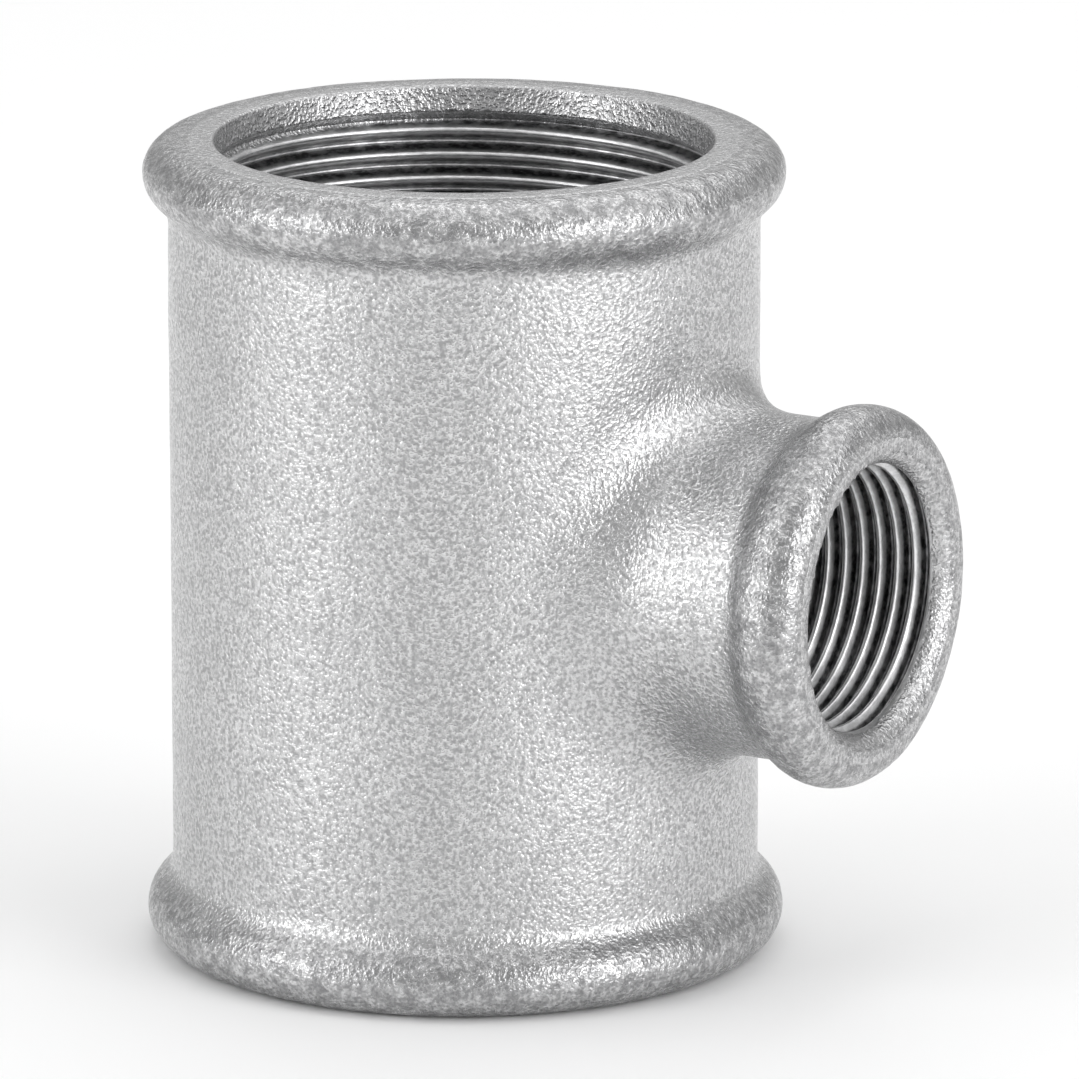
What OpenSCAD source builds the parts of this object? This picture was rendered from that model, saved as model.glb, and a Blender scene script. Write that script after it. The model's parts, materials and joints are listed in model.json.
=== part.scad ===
// Beaded reducing tee, malleable cast iron with internal parallel pipe threads.
// Each socket is solid up to the crest cylinder of its thread.
// The run stands along Z, with the middle of its lower end face at the origin.
// The branch points along +X. All sizes are in millimetres.

/* [Run] */
// End to end length of the run
run_length = 76; // [72:1:96]
// Outer diameter of the barrel between the beads
run_body_d = 54.5; // [54:0.1:56]
// Outer diameter of each end bead
run_bead_d = 59.2; // [58.8:0.1:60.5]
// Radius of the rounded section of a run bead
run_bead_section = 3.1; // [2.8:0.1:3.3]
// Diameter of the smooth waterway between the two run threads
run_waterway_d = 48.2; // [47.9:0.1:49]

/* [Branch] */
// Distance from the run axis to the branch face
branch_reach = 44; // [43:0.5:50]
// Outer diameter of the branch neck
branch_body_d = 31.6; // [31:0.1:32]
// Outer diameter of the branch bead
branch_bead_d = 35.2; // [34.8:0.1:36]
// Radius of the rounded section of the branch bead
branch_bead_section = 2.4; // [2.2:0.1:2.6]
// Length of the straight land around the crown of the branch bead
branch_bead_land = 1.5; // [0.5:0.1:1.8]
// Diameter of the smooth waterway behind the branch thread
branch_waterway_d = 26.8; // [26.5:0.1:27.2]
// Reach of the cast blend between the neck and the barrel
blend_reach = 8; // [5:0.5:8]

/* [Sockets] */
// Crest diameter of the 1 1/2 inch pipe thread, 11 threads to the inch
run_crest_d = 44.845; // [44.8:0.005:44.9]
// Depth of the run sockets from the face to the end of the thread
run_thread_depth = 19; // [17:0.5:20]
// Crest diameter of the 3/4 inch pipe thread, 14 threads to the inch
branch_crest_d = 24.117; // [24.1:0.001:24.2]
// Depth of the branch socket from the face to the end of the thread
branch_thread_depth = 15; // [13:0.5:16]

/* [Mouths] */
// Diameter of the opening in the run faces, where their flat ends
run_mouth_d = 46.4; // [46.2:0.1:48]
// Rounding of the run mouths, where the face turns into the socket
run_lip = 0.5; // [0.3:0.1:0.6]
// Diameter of the opening in the branch face, where its flat ends
branch_mouth_d = 29; // [28.8:0.1:29]
// Rounding of the branch mouth
branch_lip = 2.2; // [1:0.1:2.2]
// Radius of the hollow between a bead and the wall behind it
bead_fillet = 1.2; // [0.8:0.1:1.5]

/* [Hidden] */
$fn = 96;

zinc = [0.74, 0.75, 0.76];
cut_metal = [0.55, 0.56, 0.58];

run_middle = run_length / 2;
run_r = run_body_d / 2;
run_bead_r = run_bead_d / 2;
run_crest_r = run_crest_d / 2;
run_mouth_r = run_mouth_d / 2;
run_waterway_r = run_waterway_d / 2;
branch_r = branch_body_d / 2;
branch_bead_r = branch_bead_d / 2;
branch_crest_r = branch_crest_d / 2;
branch_mouth_r = branch_mouth_d / 2;
branch_waterway_r = branch_waterway_d / 2;

// Outer radius of the threaded linings
run_lining_r = 25.5;
branch_lining_r = 14.5;

// Length along its own axis of a bead with its fillet
function bead_length(wall_r, bead_r, section, land) =
    section + land + sqrt(pow(section + bead_fillet, 2)
                          - pow(wall_r + bead_fillet - (bead_r - section), 2));
run_bead_len = bead_length(run_r, run_bead_r, run_bead_section, 0);
branch_bead_len = bead_length(branch_r, branch_bead_r, branch_bead_section, branch_bead_land);

// Blend between the neck and the barrel
blend_steps = 8;
blend_sides = 72;
blend_sink = 0.8;
blend_depth = 10;

// Distance from the run axis to the barrel surface, at a distance to one side of the branch axis
function barrel_x(side) = sqrt(pow(run_r, 2) - pow(side, 2));
// One point of a curve that leaves the first point towards the second and ends at the third
function curve(a, b, c, t) = pow(1 - t, 2) * a + 2 * t * (1 - t) * b + pow(t, 2) * c;
// Distance along the branch axis of a blend point, at an angle around it and a share of the way down
function blend_x(angle, t) =
    let (corner = barrel_x(branch_r * cos(angle)),
         foot = barrel_x((branch_r + blend_reach) * cos(angle)) - blend_sink)
    curve(corner + blend_reach, corner, foot, t);
function blend_radius(t) = curve(branch_r, branch_r, branch_r + blend_reach, t);
// One point of the neck, at an angle around the branch axis
function around(angle, x, r) = [x, r * cos(angle), r * sin(angle)];

// Half section of a bead, from the face at zero up to the plain wall behind it
module bead_section(inner_r, wall_r, bead_r, section, land, length) {
    core_r = bead_r - section;
    difference() {
        union() {
            translate([inner_r, 0])
                square([core_r - inner_r, length]);
            for (z = land > 0 ? [section, section + land] : [section])
                translate([core_r, z])
                    circle(r = section);
            if (land > 0)
                translate([core_r, section])
                    square([section, land]);
            fillet_web(core_r, wall_r, section, section + land, length);
        }
        translate([wall_r + bead_fillet, length])
            circle(r = bead_fillet);
        translate([0, -length])
            square([inner_r, 3 * length]);
    }
}

// Material that the hollow of the fillet is cut from
module fillet_web(core_r, wall_r, section, core_z, length) {
    share = section / (section + bead_fillet);
    touch_r = core_r + share * (wall_r + bead_fillet - core_r);
    touch_z = core_z + share * (length - core_z);
    polygon([[core_r, core_z], [touch_r, touch_z], [wall_r + bead_fillet, length],
             [core_r, length]]);
}

// A run bead with its face on the ground plane
module run_bead() {
    rotate_extrude()
        bead_section(run_lining_r, run_r, run_bead_r, run_bead_section, 0, run_bead_len);
}

// Half section of a socket lining: flat face, rounded lip, countersink, then the crest cylinder
module lining_section(crest_r, lining_r, mouth_r, lip, depth) {
    lip_r = mouth_r - lip;
    intersection() {
        union() {
            translate([mouth_r, lip])
                circle(r = lip);
            if (mouth_r < lining_r)
                translate([mouth_r, 0])
                    square([lining_r - mouth_r, lip]);
            polygon([[lip_r, lip], [lining_r, lip], [lining_r, depth], [crest_r, depth],
                     [crest_r, lip + lip_r - crest_r]]);
        }
        square([lining_r, depth]);
    }
}

// A socket lining with its mouth on the ground plane and its bore running up
module lining(crest_r, lining_r, mouth_r, lip, depth) {
    rotate_extrude()
        lining_section(crest_r, lining_r, mouth_r, lip, depth);
}

// The lining of a run socket
module run_lining() {
    lining(run_crest_r, run_lining_r, run_mouth_r, run_lip, run_thread_depth);
}

// Moves something built on the ground plane onto the branch face, pointing back along the branch
module at_branch_face() {
    translate([branch_reach, 0, run_middle])
        rotate([0, -90, 0])
            children();
}

// Moves something built on the ground plane onto the upper face of the run
module at_top_face() {
    translate([0, 0, run_length])
        rotate([180, 0, 0])
            children();
}

// The neck and its blend as one solid plug that reaches inside the barrel
module neck_plug() {
    rings = blend_steps + 3;
    end_x = branch_reach - branch_bead_len;
    angles = [for (i = [0 : blend_sides - 1]) 360 * i / blend_sides];
    points = concat(
        [for (angle = angles)
            around(angle, end_x, branch_r)],
        [for (s = [0 : blend_steps], angle = angles)
            around(angle, blend_x(angle, s / blend_steps), blend_radius(s / blend_steps))],
        [for (angle = angles)
            around(angle, blend_depth, branch_r + blend_reach)]);
    sides = [for (k = [0 : rings - 2], i = [0 : blend_sides - 1])
        let (a = k * blend_sides + i, b = k * blend_sides + (i + 1) % blend_sides)
        each [[a, b, b + blend_sides], [a, b + blend_sides, a + blend_sides]]];
    front = [[for (i = [blend_sides - 1 : -1 : 0]) i]];
    back = [[for (i = [0 : blend_sides - 1]) (rings - 1) * blend_sides + i]];
    translate([0, 0, run_middle])
        polyhedron(points, concat(front, sides, back), convexity = 4);
}

// Barrel of the run between the beads, with the waterways of the run and the branch through it
module run_barrel() {
    over = 1;
    color(zinc)
    difference() {
        translate([0, 0, run_bead_len])
            cylinder(h = run_length - 2 * run_bead_len, r = run_r);
        translate([0, 0, -over])
            cylinder(h = run_length + 2 * over, r = run_waterway_r);
        translate([0, 0, -over])
            cylinder(h = run_thread_depth + over, r = run_lining_r);
        translate([0, 0, run_length - run_thread_depth])
            cylinder(h = run_thread_depth + over, r = run_lining_r);
        translate([0, 0, run_middle])
            rotate([0, 90, 0])
                cylinder(h = branch_reach, r = branch_waterway_r);
    }
}

// Rounded band around the upper mouth
module top_bead() {
    color(zinc)
    at_top_face()
        run_bead();
}

// Rounded band around the lower mouth
module bottom_bead() {
    color(zinc)
    run_bead();
}

// Neck of the branch from the barrel surface to its bead
module branch_neck() {
    color(zinc)
    difference() {
        neck_plug();
        cylinder(h = run_length, r = run_r);
        translate([0, 0, run_middle])
            rotate([0, 90, 0])
                cylinder(h = branch_reach, r = branch_waterway_r);
        translate([branch_reach - branch_thread_depth, 0, run_middle])
            rotate([0, 90, 0])
                cylinder(h = branch_thread_depth, r = branch_lining_r);
    }
}

// Rounded band around the branch mouth
module branch_bead() {
    color(zinc)
    at_branch_face()
        rotate_extrude()
            bead_section(branch_lining_r, branch_r, branch_bead_r, branch_bead_section,
                         branch_bead_land, branch_bead_len);
}

// Threaded lining of the upper socket
module top_thread() {
    color(cut_metal)
    at_top_face()
        run_lining();
}

// Threaded lining of the lower socket
module bottom_thread() {
    color(cut_metal)
    run_lining();
}

// Threaded lining of the branch socket
module branch_thread() {
    color(cut_metal)
    at_branch_face()
        lining(branch_crest_r, branch_lining_r, branch_mouth_r, branch_lip, branch_thread_depth);
}

run_barrel();
top_bead();
bottom_bead();
branch_neck();
branch_bead();
top_thread();
bottom_thread();
branch_thread();
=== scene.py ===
"""Visual model of a galvanised reducing tee: one cast skin and three cut threads.

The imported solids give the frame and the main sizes; the rest are set below. Shapes are
worked out in millimetres and put into Blender in metres.
"""

import json
import math

import bmesh
import bpy
import numpy as np
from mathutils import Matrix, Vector


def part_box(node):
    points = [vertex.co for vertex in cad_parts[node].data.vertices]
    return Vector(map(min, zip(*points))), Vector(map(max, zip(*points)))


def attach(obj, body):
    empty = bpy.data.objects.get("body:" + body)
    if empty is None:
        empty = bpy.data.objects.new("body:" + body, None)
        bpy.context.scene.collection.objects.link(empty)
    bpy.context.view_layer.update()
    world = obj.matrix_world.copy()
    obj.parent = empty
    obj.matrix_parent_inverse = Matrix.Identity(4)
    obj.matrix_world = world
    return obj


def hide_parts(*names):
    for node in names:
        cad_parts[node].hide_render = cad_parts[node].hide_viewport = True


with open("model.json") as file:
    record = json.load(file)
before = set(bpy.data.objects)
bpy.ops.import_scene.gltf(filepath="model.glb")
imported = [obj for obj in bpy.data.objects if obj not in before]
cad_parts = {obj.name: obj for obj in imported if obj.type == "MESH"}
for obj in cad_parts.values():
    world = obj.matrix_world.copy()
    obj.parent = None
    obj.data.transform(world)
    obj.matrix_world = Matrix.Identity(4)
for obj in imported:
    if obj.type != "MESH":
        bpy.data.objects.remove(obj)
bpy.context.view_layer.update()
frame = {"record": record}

MM = 0.001


# ---------------------------------------------------------------- sizes, in millimetres

def box_mm(node):
    """Lowest and highest corner of a CAD node."""
    low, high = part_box(node)
    return np.array(low) / MM, np.array(high) / MM


def half_width(node):
    """Half the width of a node across Y, which is its radius on this part."""
    low, high = box_mm(node)
    return (high[1] - low[1]) / 2


def crest_radius(mount_name):
    """Radius of a socket's thread crest, from the record's mounts."""
    mounts = {m["name"]: m for m in frame["record"]["mounts"]}
    return mounts[mount_name]["dims"]["r_mm"]


RUN_LENGTH = box_mm("top_bead")[1][2]
RUN_MIDDLE = RUN_LENGTH / 2
BRANCH_REACH = box_mm("branch_bead")[1][0]

# One end of the tee: everything that is turned about its axis, measured from its face inwards.
# crown is the half thickness of the bead across its axis, front and back along it.
# The mouth ends the flat of the face in a rounded lip, and behind the lip its radius shrinks by
# lead_slope for each unit of depth. The lining carries the flat out to face_r.
# The thread begins at start_s and is whole at whole_s; zinc still coats it down to zinc_end.
RUN = {
    "wall_r": half_width("run_barrel"),
    "bead_r": half_width("top_bead"),
    "crown": 3.4,
    "front": 2.95,
    "back": 3.35,
    "fillet": 1.4,
    "bore_r": 24.1,
    "face_r": 25.7,
    "mouth_r": 23.2,
    "lip": 0.25,
    "lead_slope": 0.2,
    "start_s": 2.0,
    "whole_s": 3.6,
    "zinc_end": 3.4,
    "crest_r": crest_radius("top_socket"),
    "depth": box_mm("bottom_thread")[1][2],
    "pitch": 25.4 / 11,
}
BRANCH = {
    "wall_r": 15.8,
    "bead_r": half_width("branch_bead"),
    "crown": 2.6,
    "front": 3.3,
    "back": 3.4,
    "fillet": 1.5,
    "bore_r": 13.4,
    "face_r": 14.95,
    "mouth_r": half_width("branch_thread"),
    "lip": 2.2,
    "lead_slope": 1.0,
    "start_s": 1.0,
    "whole_s": 1.9,
    "zinc_end": 1.6,
    "crest_r": crest_radius("branch_socket"),
    "depth": BRANCH_REACH - box_mm("branch_thread")[0][0],
    "pitch": 25.4 / 14,
}
# The lower bead is a little thicker than the upper one in the photo.
RUN_LOW = dict(RUN, front=3.3, back=3.5)
# Reach of the hollow between neck and barrel, and of the rounding where the two waterways meet.
NECK_BLEND = 5.5
BORE_BLEND = 1.5
# The branch waterway starts here, inside the run's, so that the two always join.
BRANCH_BORE_START = 10.0

# The skin is meshed on a grid of this step, over the CAD box with a margin around it.
SKIN_NODES = ("run_barrel", "top_bead", "bottom_bead", "branch_neck", "branch_bead")
SKIN_STEP = 0.62
SKIN_MARGIN = 1.5
RELAX_PASSES = 3


# ---------------------------------------------------------------- the cast shape, as a distance

# Limits that keep a division or a step safe where a distance has no slope.
TINY = 1e-9
LEAST_SQUARE = 0.05
LEAST_LENGTH = 1e-6


def blend_together(a, b, reach):
    """The nearer of two distances, with a rounded hollow of the given reach between them."""
    near = np.maximum(reach - np.abs(a - b), 0) / reach
    return np.minimum(a, b) - near * near * reach / 4


def ellipse_distance(across, along, half_across, half_along):
    """Roughly the distance to an ellipse, exact where it is zero."""
    u, v = across / half_across, along / half_along
    length = np.sqrt(u * u + v * v) + TINY
    slope = np.sqrt((u / half_across) ** 2 + (v / half_along) ** 2) / length + TINY
    return (length - 1) / slope


def end_distance(r, s, end):
    """Outside of one end, for a radius r and a depth s behind its face."""
    crown_r = end["bead_r"] - end["crown"]
    half_along = np.where(s < end["front"], end["front"], end["back"])
    bead = ellipse_distance(r - crown_r, s - end["front"], end["crown"], half_along)
    face = np.maximum(r - crown_r, -s)
    wall = np.maximum(r - end["wall_r"], end["front"] - s)
    return np.minimum(blend_together(bead, wall, end["fillet"]), face)


def casting_distance(p):
    """Distance to the whole casting, below zero in the iron."""
    x, y, z = p[..., 0], p[..., 1], p[..., 2]
    run_r = np.sqrt(x * x + y * y)
    run_s = np.minimum(z, RUN_LENGTH - z)
    branch_r = np.sqrt(y * y + (z - RUN_MIDDLE) ** 2)
    branch_s = BRANCH_REACH - x
    run_ends = [end_distance(run_r, run_s, end) for end in (RUN, RUN_LOW)]
    run = np.where(z > RUN_MIDDLE, *run_ends)
    branch = np.maximum(end_distance(branch_r, branch_s, BRANCH), -x)
    outside = blend_together(run, branch, NECK_BLEND)
    run_bore = RUN["bore_r"] - run_r
    branch_bore = np.minimum(BRANCH["bore_r"] - branch_r, x - BRANCH_BORE_START)
    bores = -blend_together(-run_bore, -branch_bore, BORE_BLEND)
    return np.maximum(outside, bores)


def slope_of(distance, p, reach=0.02):
    """Gradient of a distance at many points."""
    out = np.empty_like(p)
    for axis in range(3):
        shift = np.zeros(3)
        shift[axis] = reach
        out[:, axis] = (distance(p + shift) - distance(p - shift)) / (2 * reach)
    return out


def settle(distance, p, passes=4):
    """Moves points onto the surface, and returns them with the surface's outward direction."""
    for _ in range(passes):
        slope = slope_of(distance, p)
        square = np.maximum((slope * slope).sum(1), LEAST_SQUARE)
        p = p - slope * (distance(p) / square)[:, None]
    slope = slope_of(distance, p)
    return p, slope / np.maximum(np.linalg.norm(slope, axis=1), LEAST_LENGTH)[:, None]


# ---------------------------------------------------------------- meshing

def surface_net(distance, low, high, step):
    """Quads around the zero surface of a distance, with one vertex in each cell that it crosses."""
    axes = [np.arange(a, b + step, step) for a, b in zip(low, high)]
    grid = np.stack(np.meshgrid(*axes, indexing="ij"), axis=-1)
    inside = distance(grid) < 0
    cells = np.zeros(np.array(inside.shape) - 1, dtype=int)
    nx, ny, nz = cells.shape
    for i in (0, 1):
        for j in (0, 1):
            for k in (0, 1):
                cells += inside[i:nx + i, j:ny + j, k:nz + k]
    crossed = (cells > 0) & (cells < 8)
    number = np.full(cells.shape, -1)
    number[crossed] = np.arange(crossed.sum())
    points = grid[:-1, :-1, :-1][crossed] + step / 2
    quads = []
    for axis in range(3):
        a, b = [d for d in range(3) if d != axis]
        ahead = np.roll(inside, -1, axis)
        edge = inside != ahead
        at = np.argwhere(edge)
        size = np.array(inside.shape)
        good = (at[:, axis] < size[axis] - 1) & (at[:, a] > 0) & (at[:, b] > 0)
        good &= (at[:, a] < size[a] - 1) & (at[:, b] < size[b] - 1)
        at = at[good]
        ring = []
        for da, db in ((-1, -1), (0, -1), (0, 0), (-1, 0)):
            cell = at.copy()
            cell[:, a] += da
            cell[:, b] += db
            ring.append(number[tuple(cell.T)])
        quad = np.stack(ring, axis=1)
        outward = inside[tuple(at.T)] ^ (axis == 1)
        quad[~outward] = quad[~outward][:, ::-1]
        quads.append(quad)
    return points, np.concatenate(quads)


def relax(points, quads, passes, distance):
    """Evens out the vertices along the surface, so that its shading is smooth."""
    for _ in range(passes):
        total = np.zeros_like(points)
        count = np.zeros(len(points))
        for k in range(4):
            for other in (1, 3):
                np.add.at(total, quads[:, k], points[quads[:, (k + other) % 4]])
                np.add.at(count, quads[:, k], 1)
        points = total / count[:, None]
        points, _ = settle(distance, points, passes=2)
    return points


def mesh_object(name, points, faces, material):
    """A smooth-shaded Blender object from points in millimetres, with its faces turned outwards."""
    mesh = bpy.data.meshes.new(name)
    mesh.from_pydata((points * MM).tolist(), [], faces)
    turned = bmesh.new()
    turned.from_mesh(mesh)
    bmesh.ops.recalc_face_normals(turned, faces=turned.faces)
    turned.to_mesh(mesh)
    turned.free()
    mesh.polygons.foreach_set("use_smooth", np.ones(len(mesh.polygons), dtype=bool))
    mesh.materials.append(material)
    mesh.update()
    made = bpy.data.objects.new(name, mesh)
    bpy.context.scene.collection.objects.link(made)
    return made


# ---------------------------------------------------------------- the cast surface

# The sand mould leaves broad swells, smaller lumps and a fine orange peel: size and height of each.
CAST_SWELLS = ((11.0, 0.05), (4.2, 0.028), (1.7, 0.018))
FIRST_SEED = 11
# How far the middle of the relief lies below the true shape, on cast walls and around the mouths.
CAST_DEPTH = 0.05
FACE_DEPTH = 0.015
# Where the relief starts outside a face and below a thread, and how far it takes to be whole.
RELIEF_GAP_ACROSS = 0.1
RELIEF_EASE_ACROSS = 0.7
RELIEF_GAP_ALONG = 1
RELIEF_EASE_ALONG = 2.0
# How far the look of a bead runs past it, out from it and along the wall, and how far it fades.
BEAD_OUTSIDE = 1
BEAD_OVERRUN = 0.8
BEAD_FADE = 1.2
# Length of the noise's table, a power of two, and what brings its values to about -1 to 1.
NOISE_TABLE = 256
NOISE_GAIN = 1.6


def gradient_noise(p, size, seed):
    """Smooth noise between about -1 and 1, with one swell in each size."""
    random = np.random.default_rng(seed)
    order = np.concatenate([random.permutation(NOISE_TABLE)] * 2)
    arrows = random.normal(size=(NOISE_TABLE, 3))
    arrows /= np.linalg.norm(arrows, axis=1)[:, None]
    q = p / size
    base = np.floor(q).astype(int)
    part = q - base
    ease = part ** 3 * (part * (part * 6 - 15) + 10)
    total = np.zeros(len(p))
    for i in (0, 1):
        for j in (0, 1):
            for k in (0, 1):
                corner = (base + (i, j, k)) & (NOISE_TABLE - 1)
                pick = order[order[order[corner[:, 0]] + corner[:, 1]] + corner[:, 2]]
                dot = (arrows[pick] * (part - (i, j, k))).sum(1)
                weight = np.ones(len(p))
                for axis, step in enumerate((i, j, k)):
                    weight *= ease[:, axis] if step else 1 - ease[:, axis]
                total += weight * dot
    return total * NOISE_GAIN


def place_on_ends(p):
    """Radius from the axis and depth behind the face of points, for the run and for the branch."""
    run_s = np.minimum(p[:, 2], RUN_LENGTH - p[:, 2])
    branch_r = np.hypot(p[:, 1], p[:, 2] - RUN_MIDDLE)
    return ((np.hypot(p[:, 0], p[:, 1]), run_s, RUN), (branch_r, BRANCH_REACH - p[:, 0], BRANCH))


def cast_relief(p):
    """Height of the cast surface over its true shape. Around the mouths it is plain and just below it."""
    height = np.zeros(len(p))
    for number, (size, amount) in enumerate(CAST_SWELLS):
        height += amount * gradient_noise(p, size, seed=FIRST_SEED + number)
    free = np.ones(len(p))
    for r, s, end in place_on_ends(p):
        in_radius = np.clip((r - end["face_r"] - RELIEF_GAP_ACROSS) / RELIEF_EASE_ACROSS, 0, 1)
        in_depth = np.clip((s - end["depth"] - RELIEF_GAP_ALONG) / RELIEF_EASE_ALONG, 0, 1)
        free = np.minimum(free, np.maximum(in_radius, in_depth))
    return (height - CAST_DEPTH + FACE_DEPTH) * free - FACE_DEPTH


def bead_share(p):
    """1 on the three beads and 0 on the walls between them."""
    share = np.zeros(len(p))
    for r, s, end in place_on_ends(p):
        near_end = np.clip((end["front"] + end["back"] + BEAD_OVERRUN - s) / BEAD_FADE, 0, 1)
        share = np.maximum(share, near_end * (r < end["bead_r"] + BEAD_OUTSIDE))
    return share


def add_layer(made, name, values):
    """Stores one number for each vertex, for the material to read."""
    layer = made.data.attributes.new(name, "FLOAT", "POINT")
    layer.data.foreach_set("value", values.astype(np.float32))


def build_skin(material):
    """The casting as one closed skin: barrel, beads, branch and waterways run into each other."""
    boxes = [box_mm(node) for node in SKIN_NODES]
    low = np.min([box[0] for box in boxes], axis=0)
    high = np.max([box[1] for box in boxes], axis=0)
    points, quads = surface_net(casting_distance, low - SKIN_MARGIN, high + SKIN_MARGIN, SKIN_STEP)
    points, _ = settle(casting_distance, points)
    points = relax(points, quads, RELAX_PASSES, casting_distance)
    points, normal = settle(casting_distance, points)
    points = points + normal * cast_relief(points)[:, None]
    points = np.clip(points, low, high)
    skin = mesh_object("cast_skin", points, quads.tolist(), material)
    add_layer(skin, "bead", bead_share(points))
    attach(skin, "root")
    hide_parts(*SKIN_NODES)


# ---------------------------------------------------------------- threads

THREAD_SIDES = 288
# Thickness of the lining behind the bore, and the depth where its plain back begins.
THREAD_BACK = 0.3
BACK_START = 1.0
# Rings across the flat of the face, and the small step from its rim into the iron.
FACE_STEPS = 5
FACE_EDGE = 0.05
# How far the lining goes past the thread's depth, and the slope on which the crests end there.
RUN_OUT = 0.5
RUN_OUT_SLOPE = 1.2
# Depth over which the zinc of the first turns gives way to cut iron.
ZINC_FADE = 1.2
WELD_DIGITS = 6
# The 55 degree form: rounding and height as shares of the pitch, and the slope of a flank.
CREST_ROUND = 0.137329
THREAD_HEIGHT = 0.640327
FLANK = math.radians(27.5)
# Where each thread begins, in turns from the reference direction of its end.
TOP_START = 0.157
BOTTOM_START = 0.6
BRANCH_START = -0.41


def thread_form(arc_steps=8, flank_steps=4):
    """One pitch of a 55 degree pipe thread with rounded crest and root.

    Returns places along the axis and depths cut outwards from the crest, both as shares of the pitch."""
    turn = math.pi / 2 - FLANK
    angles = np.linspace(-turn, turn, arc_steps + 1)
    crest = np.stack([CREST_ROUND * np.sin(angles), CREST_ROUND * (1 - np.cos(angles))], axis=1)
    root = np.stack([0.5 + CREST_ROUND * np.sin(angles),
                     THREAD_HEIGHT - CREST_ROUND * (1 - np.cos(angles))], axis=1)
    share = np.linspace(0, 1, flank_steps + 2)[1:-1, None]
    next_crest = crest[0] + (1, 0)
    rising = crest[-1] + share * (root[0] - crest[-1])
    falling = root[-1] + share * (next_crest - root[-1])
    return np.concatenate([crest, rising, root, falling])


def mouth_radius(s, end):
    """Radius of the opening at a depth behind the face: a rounded lip, then a conical lead-in."""
    lip = end["lip"]
    above = np.clip(lip - s, 0, lip)
    lead_in = np.maximum(s - lip, 0) * end["lead_slope"]
    return end["mouth_r"] - np.sqrt(lip * lip - above * above) - lead_in


def thread_surface(end, start_turn):
    """Grids of radius and depth over a cut thread, from the face to its run-out.

    Each row follows the helix for one turn, so it ends where the row one pitch on begins."""
    form = thread_form()
    pitch = end["pitch"]
    last_s = end["depth"] + RUN_OUT
    turns = np.arange(-2, math.ceil(last_s / pitch) + 2)
    along = (form[:, 0] + turns[:, None]).ravel() * pitch
    cut = np.tile(form[:, 1], len(turns)) * pitch
    share = np.arange(THREAD_SIDES) / THREAD_SIDES
    s = np.clip(along + (share[:, None] + start_turn) * pitch, 0, last_s)
    cut_share = np.clip((s - end["start_s"]) / (end["whole_s"] - end["start_s"]), 0, 1)
    run_out = end["bore_r"] - (last_s - s) * RUN_OUT_SLOPE
    r = np.maximum(end["crest_r"] + cut * cut_share, run_out)
    return np.maximum(np.minimum(r, end["bore_r"]), mouth_radius(s, end)), s, len(form)


def ring_faces(first, second):
    """Quads between two rings of vertex numbers."""
    return np.stack([first, np.roll(first, -1), np.roll(second, -1), second], axis=1)


def weld(points, faces):
    """Joins points that lie together and drops the faces that this shrinks to a line."""
    _, first, where = np.unique(np.round(points, WELD_DIGITS), axis=0, return_index=True, return_inverse=True)
    kept = []
    for face in where.ravel()[faces].tolist():
        ring = [v for i, v in enumerate(face) if v != face[i - 1]]
        if len(ring) > 2:
            kept.append(ring)
    return first, kept


def at_bottom(r, angle, s):
    """Turned points on the lower end of the run."""
    return np.stack([r * np.cos(angle), r * np.sin(angle), s], axis=-1)


def at_top(r, angle, s):
    """Turned points on the upper end of the run."""
    return np.stack([r * np.cos(angle), -r * np.sin(angle), RUN_LENGTH - s], axis=-1)


def at_branch(r, angle, s):
    """Turned points on the branch."""
    return np.stack([BRANCH_REACH - s, r * np.sin(angle), RUN_MIDDLE + r * np.cos(angle)], axis=-1)


def build_thread(name, node, end, place, start_turn, material):
    """A threaded lining as a closed ring: flat face, lip and cut thread, and a plain back in the iron."""
    r, s, rows_in_pitch = thread_surface(end, start_turn)
    sides, rows = r.shape
    number = np.arange(sides * rows).reshape(sides, rows)
    last_column = number[0, np.minimum(np.arange(rows) + rows_in_pitch, rows - 1)]
    columns = np.concatenate([number, last_column[None, :]])
    inner = np.stack([columns[:-1, :-1], columns[1:, :-1], columns[1:, 1:], columns[:-1, 1:]], axis=-1)
    face_rings = [(radius, 0) for radius in np.linspace(end["mouth_r"], end["face_r"], FACE_STEPS)[1:]]
    back_r = end["bore_r"] + THREAD_BACK
    rings = face_rings + [(end["face_r"] + FACE_EDGE, FACE_EDGE), (back_r, BACK_START),
                          (back_r, s.max() - THREAD_BACK)]
    angle = np.arange(sides) * 2 * math.pi / sides
    faces = [inner.reshape(-1, 4)]
    points = [place(r, angle[:, None], s).reshape(-1, 3)]
    last = number[:, 0]
    for radius, depth in rings:
        ring = sum(len(p) for p in points) + np.arange(sides)
        faces.append(ring_faces(last, ring))
        points.append(place(np.full(sides, radius), angle, np.full(sides, depth)))
        last = ring
    faces.append(ring_faces(last, number[:, -1]))
    spare = len(rings) * sides
    groove = np.concatenate([(r - end["crest_r"]).ravel() / end["pitch"] / THREAD_HEIGHT, np.zeros(spare)])
    coated = np.clip((end["zinc_end"] - s) / ZINC_FADE + 0.5, 0, 1)
    zinc = np.concatenate([coated.ravel(), np.ones(spare)])
    kept, faces = weld(np.concatenate(points), np.concatenate(faces))
    lining = mesh_object(name, np.concatenate(points)[kept], faces, material)
    add_layer(lining, "groove", groove[kept])
    add_layer(lining, "zinc", zinc[kept])
    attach(lining, "root")
    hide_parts(node)


# ---------------------------------------------------------------- materials

# Zinc: colours of the coat, of its dark specks and of the parts that handling has rubbed.
ZINC_PALE = (0.72, 0.72, 0.725)
ZINC_BODY = (0.66, 0.66, 0.665)
ZINC_SPECK = (0.38, 0.38, 0.385)
ZINC_RUBBED = (0.22, 0.22, 0.225)
ZINC_METALLIC = 0.95
# Roughness in the low and in the high places of the grain.
ZINC_ROUGH = (0.37, 0.22)
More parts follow.
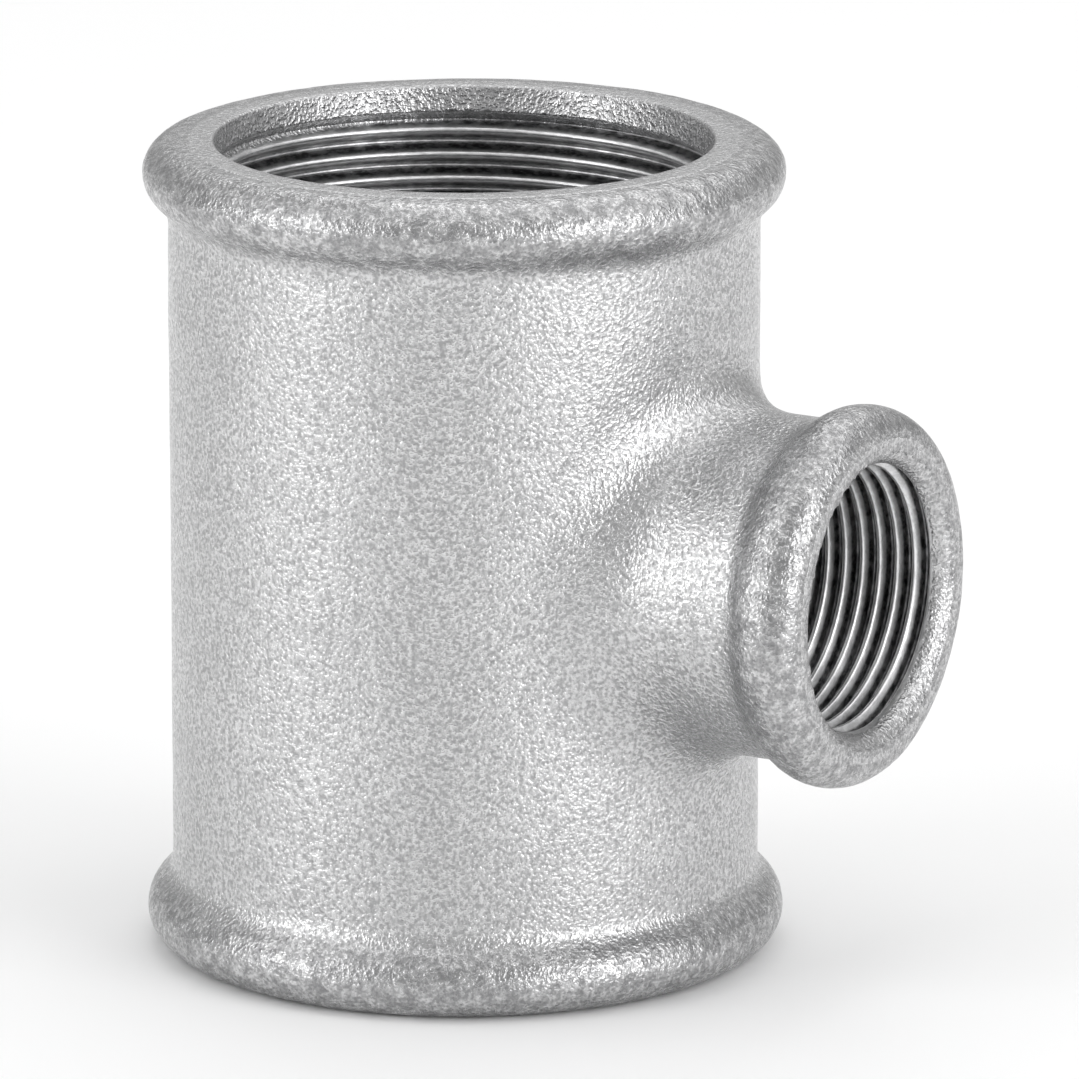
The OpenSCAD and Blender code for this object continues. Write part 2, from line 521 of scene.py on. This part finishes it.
# Sizes in millimetres, and heights, of the fine grain, the mottled lumps and the broad patches.
GRAIN_SIZE = 0.36
MOTTLE_SIZE = 1.1
PATCH_SIZE = 8.0
GRAIN_HEIGHT = 0.17 * MM
MOTTLE_HEIGHT = 0.08 * MM
# Noise values between which one colour or roughness gives way to the next.
PATCH_RANGE = (0.3, 0.7)
SPECK_RANGE = (0.30, 0.68)
RUBBED_RANGE = (0.36, 0.64)
ROUGH_RANGE = (0.35, 0.65)
# How strongly the beads are rubbed and lumped, and how rubbed the zinc of the sockets is.
RUBBED_SHARE = 0.65
BEAD_RELIEF = 0.6
COAT_RUBBED = 0.35

# Cut iron: the darker and the lighter colour of each part, mixed by the tool marks.
CREST_COLOURS = ((0.62, 0.62, 0.625), (0.86, 0.86, 0.865))
# The flanks are painted dark: painted shade in the grooves, with some dirt.
FLANK_SHADE_COLOURS = ((0.07, 0.07, 0.072), (0.34, 0.34, 0.345))
# In the run the photo's bright lines are half the model's pitch apart, so the roots are bright too: a painted
# highlight along each root.
RUN_ROOT_HIGHLIGHT = ((0.45, 0.45, 0.455), (0.80, 0.80, 0.805))
# The branch roots are painted dark: painted shade at the bottom of the groove, with some dirt.
BRANCH_ROOT_SHADE = ((0.10, 0.10, 0.105), (0.30, 0.30, 0.305))
CUT_ROUGH = 0.36
# Shares of the thread height where the crest gives way to the flank, and the flank to the root.
RUN_BRIGHT_TO = (0.12, 0.50)
BRANCH_BRIGHT_TO = (0.42, 0.62)
ROOT_FROM = (0.82, 0.97)
# Tool marks: how the noise is squeezed on each axis, its size in millimetres, height and strength.
RUN_MARKS = (0.25, 0.25, 1)
BRANCH_MARKS = (1, 0.25, 0.25)
MARK_SIZE = 0.32
MARK_HEIGHT = 0.03 * MM
MARK_STRENGTH = 0.7
MARK_RANGE = (0.35, 0.65)
# The ragged edge where the zinc of the first turns ends.
SMEAR_SIZE = 2.4
SMEAR_SHARE = 0.5
COAT_RANGE = (0.65, 0.85)

FLOOR_COLOUR = (0.95, 0.95, 0.95, 1)
FLOOR_ROUGH = 0.9


def node_maker(material):
    """Empties a material's tree and returns a function that adds a node and sets its inputs."""
    material.use_nodes = True
    tree = material.node_tree
    tree.nodes.clear()

    def add(kind, settings=None, **inputs):
        node = tree.nodes.new(kind)
        for name, value in (settings or {}).items():
            setattr(node, name, value)
        for name, value in inputs.items():
            socket = node.inputs[name.replace("_", " ")]
            if isinstance(value, bpy.types.NodeSocket):
                tree.links.new(value, socket)
            else:
                socket.default_value = value
        return node

    return add


def noise(add, place, size_mm, detail=2.0, roughness=0.5):
    """A noise texture with one swell in each size_mm, as its value socket."""
    made = add("ShaderNodeTexNoise", Vector=place, Scale=1 / (size_mm * MM), Detail=detail,
               Roughness=roughness)
    return made.outputs["Fac"]


def between(add, value, low, high, to_low=0.0, to_high=1.0):
    """Stretches a value's range onto another, and holds it there."""
    made = add("ShaderNodeMapRange", {"interpolation_type": "SMOOTHSTEP"}, Value=value,
               From_Min=low, From_Max=high, To_Min=to_low, To_Max=to_high)
    return made.outputs["Result"]


def math_value(add, operation, first, second):
    """One sum or product of two values, each a socket or a number."""
    made = add("ShaderNodeMath", {"operation": operation})
    for socket, value in zip(made.inputs, (first, second)):
        if isinstance(value, bpy.types.NodeSocket):
            made.id_data.links.new(value, socket)
        else:
            socket.default_value = value
    return made.outputs["Value"]


def mix_colours(add, share, first, second):
    """A mix of two colours by a value socket."""
    made = add("ShaderNodeMix", {"data_type": "RGBA"})
    tree = made.id_data
    tree.links.new(share, made.inputs[0])
    for socket, colour in ((made.inputs[6], first), (made.inputs[7], second)):
        if isinstance(colour, bpy.types.NodeSocket):
            tree.links.new(colour, socket)
        else:
            socket.default_value = (*colour, 1)
    return made.outputs[2]


def zinc_look(add, place, bead, relief):
    """Colour, roughness and surface normal of hot-dip zinc over a sand-cast surface.

    bead is 1 where handling has rubbed the zinc darker and mottled; relief is the height of its lumps."""
    grain = noise(add, place, GRAIN_SIZE, detail=1.5, roughness=0.6)
    mottle = noise(add, place, MOTTLE_SIZE, detail=3.0, roughness=0.65)
    patches = noise(add, place, PATCH_SIZE, detail=2.0)
    body = mix_colours(add, between(add, patches, *PATCH_RANGE), ZINC_BODY, ZINC_PALE)
    speck = mix_colours(add, between(add, grain, *SPECK_RANGE), ZINC_SPECK, body)
    rubbed = mix_colours(add, between(add, mottle, *RUBBED_RANGE), ZINC_RUBBED, speck)
    colour = mix_colours(add, math_value(add, "MULTIPLY", bead, RUBBED_SHARE), speck, rubbed)
    rough = between(add, grain, *ROUGH_RANGE, *ZINC_ROUGH)
    coarse_bump = add("ShaderNodeBump", Strength=relief, Distance=MOTTLE_HEIGHT, Height=mottle)
    fine_bump = add("ShaderNodeBump", Strength=1.0, Distance=GRAIN_HEIGHT, Height=grain,
                    Normal=coarse_bump.outputs["Normal"])
    return colour, rough, fine_bump.outputs["Normal"]


def galvanised():
    """Hot-dip zinc over a sand-cast surface: pale, grainy metal, darker and mottled on the beads."""
    material = bpy.data.materials.new("galvanised_casting")
    add = node_maker(material)
    place = add("ShaderNodeTexCoord").outputs["Object"]
    bead = add("ShaderNodeAttribute", {"attribute_name": "bead"}).outputs["Fac"]
    relief = math_value(add, "MULTIPLY", bead, BEAD_RELIEF)
    colour, rough, normal = zinc_look(add, place, bead, relief)
    shader = add("ShaderNodeBsdfPrincipled", Base_Color=colour, Roughness=rough, Metallic=ZINC_METALLIC,
                 Normal=normal)
    add("ShaderNodeOutputMaterial", Surface=shader.outputs["BSDF"])
    return material


def cut_thread(name, stretch, bright_to, painted_root_colours):
    """Cut iron, bright on the crests and painted dark on the flanks as shade in the grooves, with some dirt,
    and with zinc on the face and first turns.

    stretch is small along the axes that the tool marks follow. bright_to holds the shares of the
    thread height where the bright crest starts to fade and where it ends. painted_root_colours are the
    roots' painted light: a painted highlight in the run and painted shade in the branch."""
    material = bpy.data.materials.new(name)
    add = node_maker(material)
    place = add("ShaderNodeTexCoord").outputs["Object"]
    groove = add("ShaderNodeAttribute", {"attribute_name": "groove"}).outputs["Fac"]
    zinc = add("ShaderNodeAttribute", {"attribute_name": "zinc"}).outputs["Fac"]
    along = add("ShaderNodeVectorMath", {"operation": "MULTIPLY"})
    material.node_tree.links.new(place, along.inputs[0])
    along.inputs[1].default_value = stretch
    marks = noise(add, along.outputs["Vector"], MARK_SIZE, detail=3.0, roughness=0.7)
    smear = noise(add, place, SMEAR_SIZE, detail=3.0)
    marked = between(add, marks, *MARK_RANGE)
    crest = mix_colours(add, marked, *CREST_COLOURS)
    flank = mix_colours(add, marked, *FLANK_SHADE_COLOURS)
    root = mix_colours(add, marked, *painted_root_colours)
    # Colour by depth in the groove: painted shade on the flanks and the branch roots, and a painted highlight
    # on the run roots.
    upper = mix_colours(add, between(add, groove, *bright_to), crest, flank)
    cut_colour = mix_colours(add, between(add, groove, *ROOT_FROM), upper, root)
    cut_bump = add("ShaderNodeBump", Strength=MARK_STRENGTH, Distance=MARK_HEIGHT, Height=marks)
    metal = add("ShaderNodeBsdfPrincipled", Base_Color=cut_colour, Roughness=CUT_ROUGH, Metallic=1.0,
                Normal=cut_bump.outputs["Normal"])
    colour, rough, normal = zinc_look(add, place, COAT_RUBBED, 1.0)
    coat = add("ShaderNodeBsdfPrincipled", Base_Color=colour, Roughness=rough, Metallic=ZINC_METALLIC,
               Normal=normal)
    ragged = math_value(add, "ADD", zinc, math_value(add, "MULTIPLY", smear, SMEAR_SHARE))
    share = between(add, ragged, *COAT_RANGE)
    both = add("ShaderNodeMixShader")
    for socket, source in zip(both.inputs, (share, metal.outputs["BSDF"], coat.outputs["BSDF"])):
        material.node_tree.links.new(source, socket)
    add("ShaderNodeOutputMaterial", Surface=both.outputs["Shader"])
    return material


def pale_floor():
    """Plain matt white."""
    material = bpy.data.materials.new("pale_floor")
    add = node_maker(material)
    shader = add("ShaderNodeBsdfPrincipled", Base_Color=FLOOR_COLOUR, Roughness=FLOOR_ROUGH)
    add("ShaderNodeOutputMaterial", Surface=shader.outputs["BSDF"])
    return material


# ---------------------------------------------------------------- studio

# Angles in degrees and distances in metres. Lens and sensor are in millimetres, as Blender has them.
VIEW_AZIMUTH = 30.6
VIEW_ELEVATION = 14.4
VIEW_DISTANCE = 0.996
LENS = 359.3
SENSOR = 36.0
AIM_RIGHT = 6.9 * MM
CLIP = (0.05, 50)
FLOOR_HALF = 6.0


def direction(azimuth, elevation):
    """Unit vector from the tee towards a place given by azimuth and elevation, in degrees."""
    a, e = math.radians(azimuth), math.radians(elevation)
    return Vector((math.sin(a) * math.cos(e), -math.cos(a) * math.cos(e), math.sin(e)))


def add_camera():
    """A long lens at the photograph's angle."""
    data = bpy.data.cameras.new("camera")
    data.lens = LENS
    data.sensor_width = SENSOR
    data.clip_start, data.clip_end = CLIP
    camera = bpy.data.objects.new("camera", data)
    bpy.context.scene.collection.objects.link(camera)
    back = direction(VIEW_AZIMUTH, VIEW_ELEVATION)
    right = direction(VIEW_AZIMUTH + 90, 0)
    target = Vector((0, 0, RUN_MIDDLE * MM)) + right * AIM_RIGHT
    camera.location = target + back * VIEW_DISTANCE
    camera.rotation_euler = back.to_track_quat("Z", "Y").to_euler()
    bpy.context.scene.camera = camera


def add_softbox(name, azimuth, elevation, distance, width, height, power):
    """A rectangular light that faces the tee."""
    data = bpy.data.lights.new(name, "AREA")
    data.shape = "RECTANGLE"
    data.size, data.size_y = width, height
    data.energy = power
    light = bpy.data.objects.new(name, data)
    bpy.context.scene.collection.objects.link(light)
    way = direction(azimuth, elevation)
    light.location = Vector((0, 0, RUN_MIDDLE * MM)) + way * distance
    light.rotation_euler = way.to_track_quat("Z", "Y").to_euler()


def add_floor(material):
    """A wide pale floor under the lower face."""
    mesh = bpy.data.meshes.new("floor")
    corners = [(x * FLOOR_HALF, y * FLOOR_HALF, 0) for x, y in ((-1, -1), (1, -1), (1, 1), (-1, 1))]
    mesh.from_pydata(corners, [], [(0, 1, 2, 3)])
    mesh.materials.append(material)
    floor = bpy.data.objects.new("floor", mesh)
    bpy.context.scene.collection.objects.link(floor)


WORLD_STRENGTH = 0.53

# Azimuth from the camera, elevation, distance, width, height and radiance of each soft box.
SOFTBOXES = {
    "low_left": (-64, 15, 1.2, 0.70, 0.62, 2.7),
    "low_right": (50, 15, 1.2, 0.85, 0.62, 3.2),
    "high_left": (-80, 48, 1.2, 1.2, 0.6, 0.95),
    "high_right": (80, 48, 1.2, 1.2, 0.6, 1.2),
    "high_back": (172, 50, 1.2, 1.0, 0.7, 1.3),
    "overhead": (0, 84, 1.4, 0.8, 0.8, 1.1),
}


def light_studio():
    """Even pale surroundings, low soft boxes on both sides and weaker ones above and behind."""
    world = bpy.data.worlds.new("studio")
    world.use_nodes = True
    world.node_tree.nodes["Background"].inputs["Color"].default_value = (1, 1, 1, 1)
    world.node_tree.nodes["Background"].inputs["Strength"].default_value = WORLD_STRENGTH
    bpy.context.scene.world = world
    for name, (azimuth, elevation, distance, width, height, radiance) in SOFTBOXES.items():
        power = radiance * math.pi * width * height
        add_softbox(name, VIEW_AZIMUTH + azimuth, elevation, distance, width, height, power)


# ---------------------------------------------------------------- the whole scene

zinc = galvanised()
run_metal = cut_thread("cut_thread_run", RUN_MARKS, RUN_BRIGHT_TO, RUN_ROOT_HIGHLIGHT)
branch_metal = cut_thread("cut_thread_branch", BRANCH_MARKS, BRANCH_BRIGHT_TO, BRANCH_ROOT_SHADE)
build_skin(zinc)
build_thread("top_thread_cut", "top_thread", RUN, at_top, TOP_START, run_metal)
build_thread("bottom_thread_cut", "bottom_thread", RUN_LOW, at_bottom, BOTTOM_START, run_metal)
build_thread("branch_thread_cut", "branch_thread", BRANCH, at_branch, BRANCH_START, branch_metal)
add_floor(pale_floor())
light_studio()
add_camera()
bpy.context.scene.view_settings.view_transform = "Standard"
